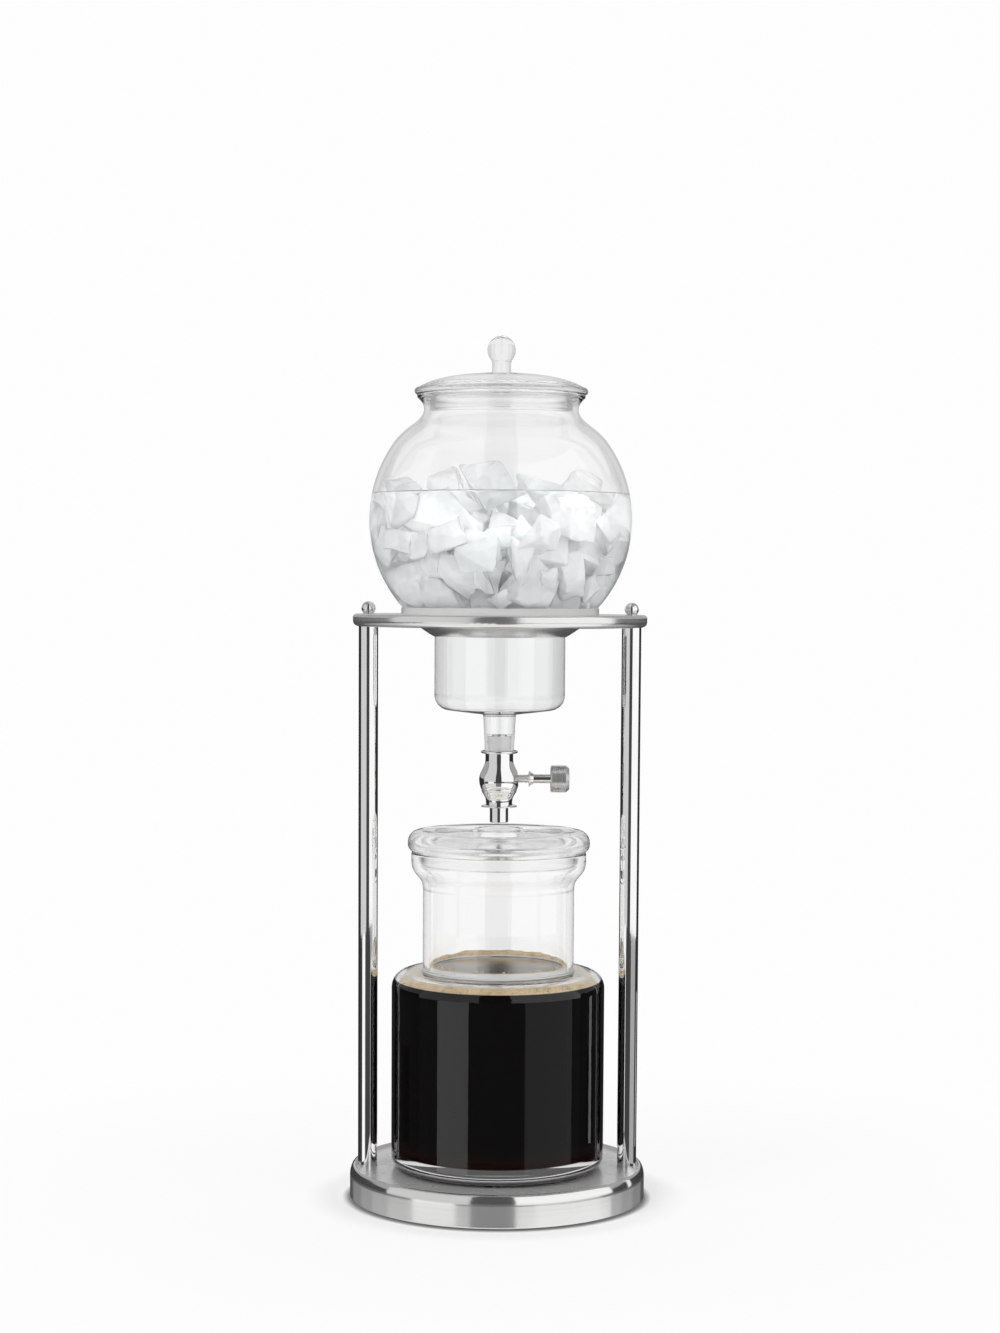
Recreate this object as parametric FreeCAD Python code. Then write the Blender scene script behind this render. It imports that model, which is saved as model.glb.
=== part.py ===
import FreeCAD, Part
import math
import os

# Cold drip coffee tower, millimetres, +Z up, +X to the tap's knob, -Y to the user.
# The origin is the centre of the base, on the surface that the tower stands on.

# ---------------------------------------------------------------- driving dimensions
BASE_RADIUS = 84.0          # pressed steel tray
BASE_FLOOR_Z = 17.2         # polished floor that the carafe stands on
BASE_CREST_Z = 19.0         # rolled rim round the floor
RIM_INNER_RADIUS = 79.9     # foot of the rim's inner side
BASE_SHEET = 1.5
PAD_HEIGHT = 1.8            # rubber ring under the base
PAD_INNER_RADIUS = 62.0
PAD_OUTER_RADIUS = 80.0
BACKING_THICKNESS = 5.0     # ballast disc that closes the tray

POST_RADIUS = 5.5
POST_REACH = 74.1           # from the tower's axis to a post's axis
FINIAL_RADIUS = 3.95

PLATE_RADIUS = 82.75
PLATE_TOP_Z = 332.0
PLATE_DEPTH = 7.0           # height of the plate's rolled edge
PLATE_SHEET = 1.5

BOWL_RADIUS = 73.7          # outer radius of the water globe
BOWL_Z = 384.8              # height of its centre
GLASS_WALL = 2.8
WAIST_RADIUS = 43.3         # narrowest part of the globe's neck
LIP_Z = 454.4               # ground top of the globe's lip
SUMP_RADIUS = 36.8          # cylinder under the globe
SUMP_BOTTOM_Z = 279.0       # where the sump's corner turns into its sloping bottom
OUTLET_TOP_Z = 275.6
OUTLET_TIP_Z = 255.2
OUTLET_TOP_RADIUS = 9.2
OUTLET_TIP_RADIUS = 8.2
SEAT_GAP = 0.4              # between the globe and the seat cup
CUP_SHEET = 1.2

LID_RADIUS = 48.6
LID_EDGE = 3.6              # thickness of the lid's rolled edge
LID_CROWN_Z = 465.9
LID_KNOB_Z = 479.1
LID_KNOB_RADIUS = 7.95
LID_STEM_RADIUS = 5.6

TAP_Z = 239.3               # axis of the needle and knob
TAP_BELLY = 11.3
TAP_NECK = 7.85
TAP_FLANGE = 10.4
TAP_SEAM_Z = 233.2
TAP_FOOT_Z = 223.2
DRIP_TIP_Z = 214.4
DRIP_RADIUS = 5.2
WATERWAY = 1.9              # radius of the bores that the water runs through
STEM_RADIUS = 2.5
THREAD_RADIUS = 2.3
FIT = 0.05                  # radial clearance of a running fit
KNOB_RADIUS = 7.6
KNOB_START_X = 29.1
KNOB_LENGTH = 10.5

CHAMBER_RADIUS = 42.85
CHAMBER_WALL = 3.2
CHAMBER_FLARE = 49.5
CHAMBER_TOP_Z = 198.0
CHAMBER_FOOT_Z = 131.0
SPIGOT_DEPTH = 6.2          # part of the chamber that drops into the carafe's mouth
DRIP_LID_RADIUS = 51.6
DRIP_LID_CREST_Z = 210.0
DRIP_HOLE = 12.0            # wide enough to pass the tap's foot flange

CARAFE_RADIUS = 60.5
CARAFE_MOUTH_Z = 130.0
CARAFE_MOUTH = 40.4         # radius of the opening
CARAFE_BOTTOM = 9.6         # thickness of the glass bottom
FILTER_RADIUS = 39.3


# ---------------------------------------------------------------- outlines and solids
def rounded(before, corner, after, radius):
    """Start, middle and end of the tangent arc that rounds a corner."""
    to_before = (before - corner).normalize()
    to_after = (after - corner).normalize()
    half_angle = to_before.getAngle(to_after) / 2
    reach = radius / math.tan(half_angle)
    inward = (to_before + to_after).normalize()
    middle = corner + inward * (radius / math.sin(half_angle) - radius)
    return corner + to_before * reach, middle, corner + to_after * reach


def smooth_edge(points):
    """One arc through three points, or one smooth curve through more."""
    if len(points) == 3:
        return Part.Arc(*points).toShape()
    curve = Part.BSplineCurve()
    curve.interpolate(points)
    return curve.toShape()


def outline(*steps):
    """Closed wire in the XZ plane.

    A tuple is a corner (r, z), or (r, z, radius) where the corner is rounded.
    A list holds the points that a smooth run passes between two corners.
    """
    corners = [V(step[0], 0, step[1]) if isinstance(step, tuple) else None for step in steps]
    edges = []
    count = len(steps)
    ends = {}
    for i, step in enumerate(steps):
        if isinstance(step, list):
            continue
        if len(step) == 3:
            before, after = corners[i - 1], corners[(i + 1) % count]
            start, middle, end = rounded(before, corners[i], after, step[2])
            edges.append(Part.Arc(start, middle, end).toShape())
            ends[i] = (start, end)
        else:
            ends[i] = (corners[i], corners[i])
    for i in ends:
        follower = (i + 1) % count
        start = ends[i][1]
        if follower in ends:
            if start.distanceToPoint(ends[follower][0]) > 1e-6:
                edges.append(Part.LineSegment(start, ends[follower][0]).toShape())
        else:
            between = [V(r, 0, z) for r, z in steps[follower]]
            edges.append(smooth_edge([start] + between + [ends[(follower + 1) % count][0]]))
    return Part.Wire(Part.__sortEdges__(edges))


def turned(*steps):
    """Solid of revolution about the tower's axis."""
    return Part.Face(outline(*steps)).revolve(V(0, 0, 0), V(0, 0, 1), 360)


def turned_on_tap(*steps):
    """Solid of revolution about the needle's axis; steps are (r, x) pairs."""
    upright = turned(*steps)
    upright.rotate(V(0, 0, 0), V(0, 1, 0), 90)
    upright.translate(V(0, 0, TAP_Z))
    return upright


def rod(radius, z_low, z_high, x=0.0, y=0.0):
    return Part.makeCylinder(radius, z_high - z_low, V(x, y, z_low))


def ring(inner, outer, z_low, z_high, radius=0.0):
    """Flat ring, with its outer edges rounded where a radius is given."""
    edge = (radius,) if radius else ()
    return turned((inner, z_low), (outer, z_low) + edge, (outer, z_high) + edge, (inner, z_high))


def bowl_r(z, radius=BOWL_RADIUS):
    """Radius of the globe's sphere at a height."""
    return math.sqrt(radius ** 2 - (z - BOWL_Z) ** 2)


def bowl_z(r, radius=BOWL_RADIUS):
    """Height of the lower half of the globe's sphere at a radius."""
    return BOWL_Z - math.sqrt(radius ** 2 - r ** 2)


# ---------------------------------------------------------------- stand
def base_tray():
    """Pressed pan: polished floor, rolled rim with a soft shoulder and a skirt with a turned-in hem."""
    skirt_foot_z = PAD_HEIGHT - 1.0
    inner_r = BASE_RADIUS - BASE_SHEET
    hem_r = inner_r - 1.2
    under_z = BASE_FLOOR_Z - BASE_SHEET
    crest_r = RIM_INNER_RADIUS + 0.9
    pan = turned(
        (0, BASE_FLOOR_Z), (RIM_INNER_RADIUS, BASE_FLOOR_Z, 0.3), (crest_r, BASE_CREST_Z, 0.5),
        (BASE_RADIUS - 1.6, BASE_CREST_Z, 1.7), (BASE_RADIUS, BASE_CREST_Z - 3.4, 11.5),
        (BASE_RADIUS, skirt_foot_z, 0.8),
        (hem_r, skirt_foot_z), (hem_r, skirt_foot_z + 1.2), (inner_r, skirt_foot_z + 1.2),
        (inner_r, BASE_CREST_Z - 3.8), (crest_r + 0.8, BASE_CREST_Z - 1.9, 0.3),
        (crest_r + 0.1, under_z, 0.4), (0, under_z))
    return pan.cut(post_bores(2.1, under_z - 1, BASE_FLOOR_Z + 1))


def post_bores(radius, z_low, z_high):
    """The same hole at each post."""
    holes = [rod(radius, z_low, z_high, side * POST_REACH) for side in SIDES]
    return holes[0].fuse(holes[1])


def backing_plate():
    """Ballast disc pressed in behind the hem, which keeps the tower upright."""
    low = PAD_HEIGHT + 0.2
    return rod(BASE_RADIUS - BASE_SHEET - 0.1, low, low + BACKING_THICKNESS)


def base_pad():
    """Rubber ring that the tower stands on, bonded to the ballast disc."""
    return turned(
        (PAD_INNER_RADIUS, 0), (PAD_OUTER_RADIUS, 0, 0.6), (PAD_OUTER_RADIUS, PAD_HEIGHT + 0.2),
        (PAD_INNER_RADIUS, PAD_HEIGHT + 0.2))


def post(side):
    """Polished rod, tapped at both ends for the foot screw and the finial."""
    top_z = PLATE_TOP_Z - PLATE_SHEET
    x = side * POST_REACH
    body = rod(POST_RADIUS, BASE_FLOOR_Z, top_z, x)
    foot_hole = rod(2.0, BASE_FLOOR_Z, BASE_FLOOR_Z + 12, x)
    top_hole = rod(2.0, top_z - 12, top_z, x)
    return body.cut(foot_hole).cut(top_hole)


def foot_fixing():
    """Pan-head screw and washer under the tray's floor at each post."""
    under_z = BASE_FLOOR_Z - BASE_SHEET
    washer_low = under_z - 0.8
    screws, washers = [], []
    for side in SIDES:
        x = side * POST_REACH
        screw = turned(
            (0, under_z + 12), (1.9, under_z + 12), (1.9, washer_low), (3.6, washer_low),
            (3.6, washer_low - 2.4, 1.0), (0, washer_low - 2.4))
        cross = Part.makeBox(4.2, 0.9, 1.4, V(-2.1, -0.45, washer_low - 2.5))
        turn = cross.copy()
        turn.rotate(V(0, 0, 0), V(0, 0, 1), 90)
        screw = screw.cut(cross).cut(turn)
        screw.translate(V(x, 0, 0))
        washer = ring(2.1, 4.5, washer_low, under_z)
        washer.translate(V(x, 0, 0))
        screws.append(screw)
        washers.append(washer)
    return Part.makeCompound(screws), Part.makeCompound(washers)


def finial(side):
    """Ball nut on top of the plate, with a stud down into the post."""
    top = PLATE_TOP_Z
    ball_z = top + 3.0
    foot_r = 2.6
    shoulder_z = ball_z - math.sqrt(FINIAL_RADIUS ** 2 - foot_r ** 2)
    knob = turned(
        (0, ball_z + FINIAL_RADIUS), [(FINIAL_RADIUS, ball_z)], (foot_r, shoulder_z),
        (foot_r, top), (1.9, top), (1.9, top - PLATE_SHEET - 10), (0, top - PLATE_SHEET - 10))
    knob.translate(V(side * POST_REACH, 0, 0))
    return knob


def top_plate():
    """Pressed disc with a rolled edge and a hole that the globe hangs through."""
    low = PLATE_TOP_Z - PLATE_DEPTH
    under = PLATE_TOP_Z - PLATE_SHEET
    hole_r = bowl_r(PLATE_TOP_Z) + 0.7
    inner_r = PLATE_RADIUS - PLATE_SHEET
    disc = turned(
        (hole_r, under), (hole_r, PLATE_TOP_Z), (PLATE_RADIUS, PLATE_TOP_Z, 1.8),
        (PLATE_RADIUS, low, 3.2), (PLATE_RADIUS - 4.2, low), (PLATE_RADIUS - 4.2, low + 1.2),
        (inner_r, low + 1.2, 1.8), (inner_r, under, 0.6))
    # the rolled hem is notched round each post
    return disc.cut(post_bores(2.1, under - 1, PLATE_TOP_Z + 1)).cut(
        post_bores(POST_RADIUS + 0.1, low - 1, under))


def seat_cup():
    """Spun cup under the plate, concentric with the globe that it carries."""
    inner = BOWL_RADIUS + SEAT_GAP
    outer = inner + CUP_SHEET
    top = PLATE_TOP_Z - PLATE_SHEET
    mouth_r = SUMP_RADIUS + 0.6
    flange_r = 62.0
    middle_z = 325.0
    return turned(
        (bowl_r(top, inner), top), [(bowl_r(middle_z, inner), middle_z)],
        (mouth_r, bowl_z(mouth_r, inner)), (mouth_r, bowl_z(mouth_r, outer)),
        [(bowl_r(middle_z, outer), middle_z)], (bowl_r(top - CUP_SHEET, outer), top - CUP_SHEET),
        (flange_r, top - CUP_SHEET), (flange_r, top))


def seat_gasket():
    """Clear silicone wedge ring that fills the corner between the globe and the plate."""
    low, high = PLATE_TOP_Z, PLATE_TOP_Z + 3.6
    near = BOWL_RADIUS + 0.3
    mid = (low + high) / 2
    return turned(
        (bowl_r(low, near), low), (55.6, low), (55.6, high), (bowl_r(high, near), high),
        [(bowl_r(mid, near), mid)])


# ---------------------------------------------------------------- water globe and its lid
def neck_run(inset):
    """Points of the globe's shoulder, waist and flare, going up; inset moves them into the glass."""
    ball = BOWL_RADIUS - inset
    return [
        (bowl_r(428.5 - 0.6 * inset, ball), 428.5 - 0.6 * inset),
        (51.5 - 0.70 * inset, 436.0 - 0.70 * inset),
        (45.7 - 0.80 * inset, 440.9 - 0.60 * inset),
        (WAIST_RADIUS - inset, 445.8),
        (44.2 - 0.95 * inset, 449.5 + 0.30 * inset)]


def water_globe():
    """Blown globe with a flared neck, a cylindrical sump and a tapered outlet, all one glass."""
    shoulder_z = 424.0
    join = (SUMP_RADIUS, bowl_z(SUMP_RADIUS))
    outer = turned(
        (0, LIP_Z), (47.9, LIP_Z, 1.0), (46.9, 452.6), neck_run(0)[::-1],
        (bowl_r(shoulder_z), shoulder_z), [(BOWL_RADIUS, BOWL_Z)], join,
        (SUMP_RADIUS, SUMP_BOTTOM_Z, 8.5), (OUTLET_TOP_RADIUS, OUTLET_TOP_Z, 1.2),
        (OUTLET_TIP_RADIUS, OUTLET_TIP_Z), (0, OUTLET_TIP_Z))
    ball = BOWL_RADIUS - GLASS_WALL
    sump_r = SUMP_RADIUS - GLASS_WALL
    bore_top, bore_tip = OUTLET_TOP_RADIUS - 1.6, OUTLET_TIP_RADIUS - 1.6
    floor_z = OUTLET_TOP_Z + GLASS_WALL
    inner = turned(
        (0, LIP_Z + 1), (44.0, LIP_Z + 1), (43.6, LIP_Z - 0.6), neck_run(GLASS_WALL)[::-1],
        (bowl_r(shoulder_z - 2, ball), shoulder_z - 2), [(ball, BOWL_Z)],
        (sump_r, bowl_z(sump_r, ball)), (sump_r, SUMP_BOTTOM_Z + GLASS_WALL, 6.0),
        (bore_top, floor_z, 1.5), (bore_top, OUTLET_TOP_Z), (bore_tip, OUTLET_TIP_Z),
        (bore_tip, OUTLET_TIP_Z - 1), (0, OUTLET_TIP_Z - 1))
    return outer.cut(inner)


def globe_lid():
    """Domed glass lid with a solid ball knob and a ring that drops into the globe's neck."""
    stem_top_z = LID_KNOB_Z - math.sqrt(LID_KNOB_RADIUS ** 2 - LID_STEM_RADIUS ** 2)
    edge_r = LID_EDGE / 2
    ring_r = WAIST_RADIUS - GLASS_WALL - 0.5
    ring_foot_z = 444.5
    under_z = LIP_Z
    return turned(
        (0, LID_KNOB_Z + LID_KNOB_RADIUS), [(LID_KNOB_RADIUS, LID_KNOB_Z)],
        (LID_STEM_RADIUS, stem_top_z), [(LID_STEM_RADIUS - 0.3, (stem_top_z + LID_CROWN_Z) / 2)],
        (LID_STEM_RADIUS, LID_CROWN_Z), [(20.0, 465.1), (32.0, 463.4), (42.0, 460.4)],
        (LID_RADIUS - edge_r, under_z + LID_EDGE),
        [(LID_RADIUS, under_z + edge_r)], (LID_RADIUS - edge_r, under_z), (ring_r, under_z),
        (ring_r - 0.3, ring_foot_z, 1.2), (ring_r - 2.8, ring_foot_z, 1.2),
        (ring_r - 2.8, under_z + 1.4), [(31.0, 459.0), (21.0, 461.2), (9.0, 462.3)], (0, 462.5))


# ---------------------------------------------------------------- tap
def stopper_bore(z):
    """Inner radius of the glass outlet at a height."""
    share = (z - OUTLET_TIP_Z) / (OUTLET_TOP_Z - OUTLET_TIP_Z)
    return OUTLET_TIP_RADIUS - 1.6 + share * (OUTLET_TOP_RADIUS - OUTLET_TIP_RADIUS)


def outlet_stopper():
    """Silicone bung in the glass outlet, round the tap's inlet tube."""
    top = OUTLET_TIP_Z + 8.2
    return turned(
        (4.25, OUTLET_TIP_Z), (stopper_bore(OUTLET_TIP_Z) - FIT, OUTLET_TIP_Z),
        (stopper_bore(top) - FIT, top, 0.6), (4.25, top))


def valve_body():
    """Turned vase: inlet tube, top flange, neck and belly, bored for the water and the needle."""
    flange_low = OUTLET_TIP_Z - 2.0
    vase = turned(
        (0, OUTLET_TIP_Z + 9.2), (4.2, OUTLET_TIP_Z + 9.2, 0.5), (4.2, OUTLET_TIP_Z),
        (TAP_FLANGE - 0.6, OUTLET_TIP_Z), [(TAP_FLANGE, OUTLET_TIP_Z - 0.7)],
        (TAP_FLANGE - 0.9, flange_low + 0.5), (TAP_NECK, flange_low),
        [(TAP_NECK, 251.5), (TAP_NECK + 0.1, 248.9), (9.6, 244.6), (TAP_BELLY, 239.6), (10.9, 235.6)],
        (10.2, TAP_SEAM_Z + 0.3), (9.9, TAP_SEAM_Z), (8.2, TAP_SEAM_Z), (8.2, TAP_SEAM_Z - 3.2, 0.4),
        (0, TAP_SEAM_Z - 3.2))
    inlet = rod(WATERWAY, TAP_Z, OUTLET_TIP_Z + 10, 1.0)
    outlet = rod(WATERWAY, TAP_SEAM_Z - 4, TAP_Z, -4.4)
    needle_way = turned_on_tap((0, -1.2), (2.4, 0.6), (2.4, 4.6), (3.85, 4.6), (3.85, 12.5), (0, 12.5))
    orifice = turned_on_tap((0, -4.4), (0.9, -4.4), (0.9, 0.0), (0, 0.0))
    return vase.cut(inlet).cut(outlet).cut(needle_way).cut(orifice)


def valve_cap():
    """Lower half of the tap, screwed on at the seam, with the foot flange."""
    pocket_z = TAP_SEAM_Z - 3.4
    return turned(
        (8.25, TAP_SEAM_Z), (9.9, TAP_SEAM_Z), (10.05, TAP_SEAM_Z - 0.3),
        [(9.0, 230.6), (7.8, 228.4), (7.45, 226.6)], (7.45, TAP_FOOT_Z + 1.3),
        (9.6, TAP_FOOT_Z + 0.9), [(10.1, TAP_FOOT_Z + 0.45)], (9.6, TAP_FOOT_Z),
        (DRIP_RADIUS + FIT, TAP_FOOT_Z), (DRIP_RADIUS + FIT, pocket_z - 1.6), (4.4, pocket_z - 1.6),
        (4.4, pocket_z), (8.25, pocket_z))


def drip_tube():
    """Nozzle that each drop leaves from."""
    top = TAP_SEAM_Z - 5.1
    return turned(
        (WATERWAY, DRIP_TIP_Z), (DRIP_RADIUS, DRIP_TIP_Z, 0.5), (DRIP_RADIUS, top), (WATERWAY, top))


def stem_gland():
    """Threaded bush that closes the needle's bore, flush with the belly."""
    bore = THREAD_RADIUS + FIT
    return turned_on_tap((bore, 4.7), (3.8, 4.7), (3.8, 10.4), (bore, 10.4))


def needle_tip():
    """Soft cone on the stem's end: it slides with the stem but doesn't turn on the seat."""
    return turned_on_tap(
        (0, -1.05), (0.3, -1.05), (1.7, 0.45), (1.7, 3.0), (0.85, 3.0), (0.85, 1.2), (0, 1.2))


def stem_o_ring():
    """Seal in the stem's groove."""
    half, x = 0.4, 7.6
    centre_r = 1.88
    return turned_on_tap(
        (centre_r - half, x), [(centre_r, x - half)], (centre_r + half, x), [(centre_r, x + half)])


def valve_stem():
    """Needle stem: swivel pin, sealed shank with its groove, thread, collar run and knob spigot."""
    groove_low, groove_high, groove_r = 7.15, 8.05, 1.4
    return turned_on_tap(
        (0, 1.25), (0.8, 1.25), (0.8, 3.05), (1.7, 3.05), (1.7, 5.2), (THREAD_RADIUS, 5.8),
        (THREAD_RADIUS, groove_low), (groove_r, groove_low), (groove_r, groove_high),
        (THREAD_RADIUS, groove_high), (THREAD_RADIUS, 16.2), (STEM_RADIUS, 16.6),
        (STEM_RADIUS, KNOB_START_X), (2.0, KNOB_START_X), (2.0, KNOB_START_X + 7), (0, KNOB_START_X + 7))


def lock_ring():
    """Thin ring on the stem that stops the needle at the set drip rate."""
    return turned_on_tap(
        (STEM_RADIUS, 16.7), (4.1, 16.7), [(4.45, 17.1)], (4.1, 17.5), (3.4, 17.8), (3.2, 19.2),
        (STEM_RADIUS, 19.4))


def valve_knob():
    """Turned knob with a hub face towards the tap and a chamfered outer end."""
    end_x = KNOB_START_X + KNOB_LENGTH
    knob = turned_on_tap(
        (2.05, KNOB_START_X), (6.4, KNOB_START_X), [(7.3, KNOB_START_X + 0.25)],
        (KNOB_RADIUS, KNOB_START_X + 1.0), (KNOB_RADIUS, end_x - 1.9), (5.9, end_x, 0.4), (0, end_x),
        (0, KNOB_START_X + 7.2), (2.05, KNOB_START_X + 7.2))
    return knob.cut(rod(1.25, TAP_Z, TAP_Z + 9, KNOB_START_X + 4.0))


def knob_set_screw():
    """Grub screw that clamps the knob on the stem's spigot."""
    x = KNOB_START_X + 4.0
    screw = rod(1.2, TAP_Z + 2.05, TAP_Z + 6.9, x)
    return screw.cut(rod(0.6, TAP_Z + 5.4, TAP_Z + 7.0, x))


# ---------------------------------------------------------------- grounds chamber, drip lid
def brew_chamber():
    """Glass cylinder for the grounds: flared mouth, straight bore, filter ledge and spigot."""
    bore_r = CHAMBER_RADIUS - CHAMBER_WALL
    flare_bore = CHAMBER_FLARE - CHAMBER_WALL
    spigot_r = CARAFE_MOUTH - 0.5
    spigot_z = CHAMBER_FOOT_Z - SPIGOT_DEPTH
    return turned(
        (flare_bore, CHAMBER_TOP_Z, 1.4), (CHAMBER_FLARE, CHAMBER_TOP_Z, 1.4), (CHAMBER_FLARE, 192.2),
        [(48.9, 188.6), (46.4, 184.6), (43.7, 181.0)], (CHAMBER_RADIUS, 176.5),
        (CHAMBER_RADIUS, CHAMBER_FOOT_Z, 1.2), (spigot_r, CHAMBER_FOOT_Z),
        (spigot_r, spigot_z, 1.2), (spigot_r - 3.0, spigot_z, 1.2), (spigot_r - 3.0, CHAMBER_FOOT_Z),
        (bore_r, CHAMBER_FOOT_Z), (bore_r, 177.5),
        [(40.6, 181.8), (43.4, 186.2), (45.8, 190.2)], (flare_bore, 193.4))


def drip_lid():
    """Dished glass lid with a fat rolled rim, a plug below and a collar round its drip hole."""
    plug_r = CHAMBER_FLARE - CHAMBER_WALL - 0.6
    low = CHAMBER_TOP_Z
    crest = DRIP_LID_CREST_Z
    return turned(
        (DRIP_HOLE, 203.4), (DRIP_HOLE, crest + 0.2), [(DRIP_HOLE + 1.0, crest + 1.2)],
        (DRIP_HOLE + 2.2, crest + 0.2), [(16.4, 207.3), (21.0, 206.6), (30.0, 207.0), (38.0, 209.0)],
        (44.0, crest), [(48.6, 208.9), (51.0, 206.0), (DRIP_LID_RADIUS, 202.7), (51.0, 199.9)],
        (49.2, low), (plug_r, low), (plug_r - 0.5, low - 7.4, 1.2), (plug_r - 3.0, low - 7.4, 1.2),
        (plug_r - 3.0, 203.0, 2.5), (30.0, 203.4))


# ---------------------------------------------------------------- filter
def filter_plate():
    """Steel disc with rings of round holes and a rolled rim."""
    low = CHAMBER_FOOT_Z + 0.4
    plate = turned((0, low), (37.6, low), (37.6, low + 1.6, 0.5), (36.4, low + 1.6), (36.4, low + 0.8),
                   (0, low + 0.8))
    holes = []
    for ring_number in range(1, 5):
        count = 6 * ring_number
        for i in range(count):
            angle = 2 * math.pi * i / count
            reach = 7.6 * ring_number
            holes.append(rod(2.2, low - 1, low + 2, reach * math.cos(angle), reach * math.sin(angle)))
    return plate.cut(holes)


def filter_mesh():
    """Fine woven mesh that lies on the plate."""
    low = CHAMBER_FOOT_Z + 1.2
    return rod(36.2, low, low + 0.5)


def filter_seal():
    """Silicone edge ring that grips the plate and stands on the chamber's ledge."""
    low = CHAMBER_FOOT_Z
    return turned(
        (36.9, low), (FILTER_RADIUS, low, 0.6), (FILTER_RADIUS, low + 2.6, 0.8), (37.0, low + 2.6),
        (37.0, low + 2.05), (37.65, low + 2.05), (37.65, low + 0.35), (36.9, low + 0.35))


# ---------------------------------------------------------------- carafe
def carafe():
    """Straight glass carafe with a thick bottom, a round shoulder and a flat mouth."""
    bore_r = CARAFE_RADIUS - GLASS_WALL
    floor_z = BASE_FLOOR_Z
    inside_z = floor_z + CARAFE_BOTTOM
    outer = turned(
        (0, floor_z), (CARAFE_RADIUS, floor_z, 7.0), (CARAFE_RADIUS, CARAFE_MOUTH_Z, 9.5),
        (0, CARAFE_MOUTH_Z))
    inner = turned(
        (0, inside_z), (bore_r, inside_z, 4.5), (bore_r, CARAFE_MOUTH_Z - GLASS_WALL, 7.5),
        (CARAFE_MOUTH, CARAFE_MOUTH_Z - GLASS_WALL, 0.8), (CARAFE_MOUTH, CARAFE_MOUTH_Z + 1),
        (0, CARAFE_MOUTH_Z + 1))
    return outer.cut(inner)


def mouth_gasket():
    """Silicone ring between the carafe's mouth and the chamber."""
    return ring(CARAFE_MOUTH + 0.2, CHAMBER_RADIUS + 0.5, CARAFE_MOUTH_Z, CHAMBER_FOOT_Z, 0.3)


# ---------------------------------------------------------------- all pieces
V = FreeCAD.Vector
SIDES = (-1, 1)


def all_pieces():
    screws, washers = foot_fixing()
    pieces = {
        "base_tray": base_tray(),
        "base_backing_plate": backing_plate(),
        "base_pad": base_pad(),
        "post_screws": screws,
        "post_washers": washers,
        "top_plate": top_plate(),
        "seat_cup": seat_cup(),
        "seat_gasket": seat_gasket(),
        "water_globe": water_globe(),
        "globe_lid": globe_lid(),
        "outlet_stopper": outlet_stopper(),
        "valve_body": valve_body(),
        "valve_cap": valve_cap(),
        "drip_tube": drip_tube(),
        "stem_gland": stem_gland(),
        "needle_tip": needle_tip(),
        "stem_o_ring": stem_o_ring(),
        "valve_stem": valve_stem(),
        "lock_ring": lock_ring(),
        "valve_knob": valve_knob(),
        "knob_set_screw": knob_set_screw(),
        "drip_lid": drip_lid(),
        "brew_chamber": brew_chamber(),
        "filter_plate": filter_plate(),
        "filter_mesh": filter_mesh(),
        "filter_seal": filter_seal(),
        "carafe": carafe(),
        "mouth_gasket": mouth_gasket(),
    }
    for side, name in zip(SIDES, ("left", "right")):
        pieces["post_" + name] = post(side)
        pieces["finial_" + name] = finial(side)
    return pieces


os.makedirs("parts", exist_ok=True)
for node, shape in all_pieces().items():
    shape.exportStep("parts/" + node + ".step")
    print(node, len(shape.Solids), shape.isValid(), round(shape.Volume), shape.BoundBox)
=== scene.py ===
import bpy
import bmesh
import math
import random
import numpy as np
from mathutils import Matrix, Vector, noise


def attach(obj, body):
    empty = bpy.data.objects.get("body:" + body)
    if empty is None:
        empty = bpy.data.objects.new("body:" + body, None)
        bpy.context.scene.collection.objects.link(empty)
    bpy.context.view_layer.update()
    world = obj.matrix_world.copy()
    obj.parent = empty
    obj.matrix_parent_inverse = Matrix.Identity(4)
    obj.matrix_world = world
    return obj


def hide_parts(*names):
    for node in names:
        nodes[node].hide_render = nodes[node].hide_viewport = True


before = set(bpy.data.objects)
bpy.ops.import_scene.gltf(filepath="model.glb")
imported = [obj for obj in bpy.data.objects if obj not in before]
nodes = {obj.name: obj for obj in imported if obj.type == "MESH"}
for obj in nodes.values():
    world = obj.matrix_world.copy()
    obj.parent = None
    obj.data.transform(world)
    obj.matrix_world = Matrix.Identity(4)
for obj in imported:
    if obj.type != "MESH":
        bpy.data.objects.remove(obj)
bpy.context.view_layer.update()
MM = 0.001

# how finely profiles are drawn, millimetres and degrees
SEGMENTS = 176
ARC_STEP_DEG, ARC_STEP, SPLINE_STEP, LINE_STEP = 7.5, 2.4, 0.8, 5.0
EDGE_GAP = 0.22             # from a corner to the first point of a straight run
SHORT_RUN = 0.7             # below this length it has no points between

# main sizes, millimetres, as in the frame
BASE_FLOOR_Z, FLOOR_RADIUS = 17.2, 79.8
BOWL_RADIUS, BOWL_Z, GLASS_WALL = 73.7, 384.8, 2.8
WAIST_RADIUS, LIP_Z = 43.3, 454.4
SUMP_RADIUS, SUMP_BOTTOM_Z = 36.8, 279.0
OUTLET_TOP_Z, OUTLET_TIP_Z, OUTLET_TOP_RADIUS, OUTLET_TIP_RADIUS = 275.6, 255.2, 9.2, 8.2
LID_RADIUS, LID_EDGE, LID_CROWN_Z = 48.6, 3.6, 465.9
LID_KNOB_Z, LID_KNOB_RADIUS, LID_STEM_RADIUS = 479.1, 7.95, 5.6
TAP_Z = 239.3
CHAMBER_RADIUS, CHAMBER_WALL, CHAMBER_FLARE = 42.85, 3.2, 49.5
CHAMBER_TOP_Z, CHAMBER_FOOT_Z, SPIGOT_DEPTH = 198.0, 131.0, 6.2
DRIP_LID_RADIUS, DRIP_LID_CREST_Z, DRIP_HOLE = 51.6, 210.0, 12.0
CARAFE_RADIUS, CARAFE_MOUTH_Z, CARAFE_MOUTH, CARAFE_BOTTOM = 60.5, 130.0, 40.4, 9.6
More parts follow.
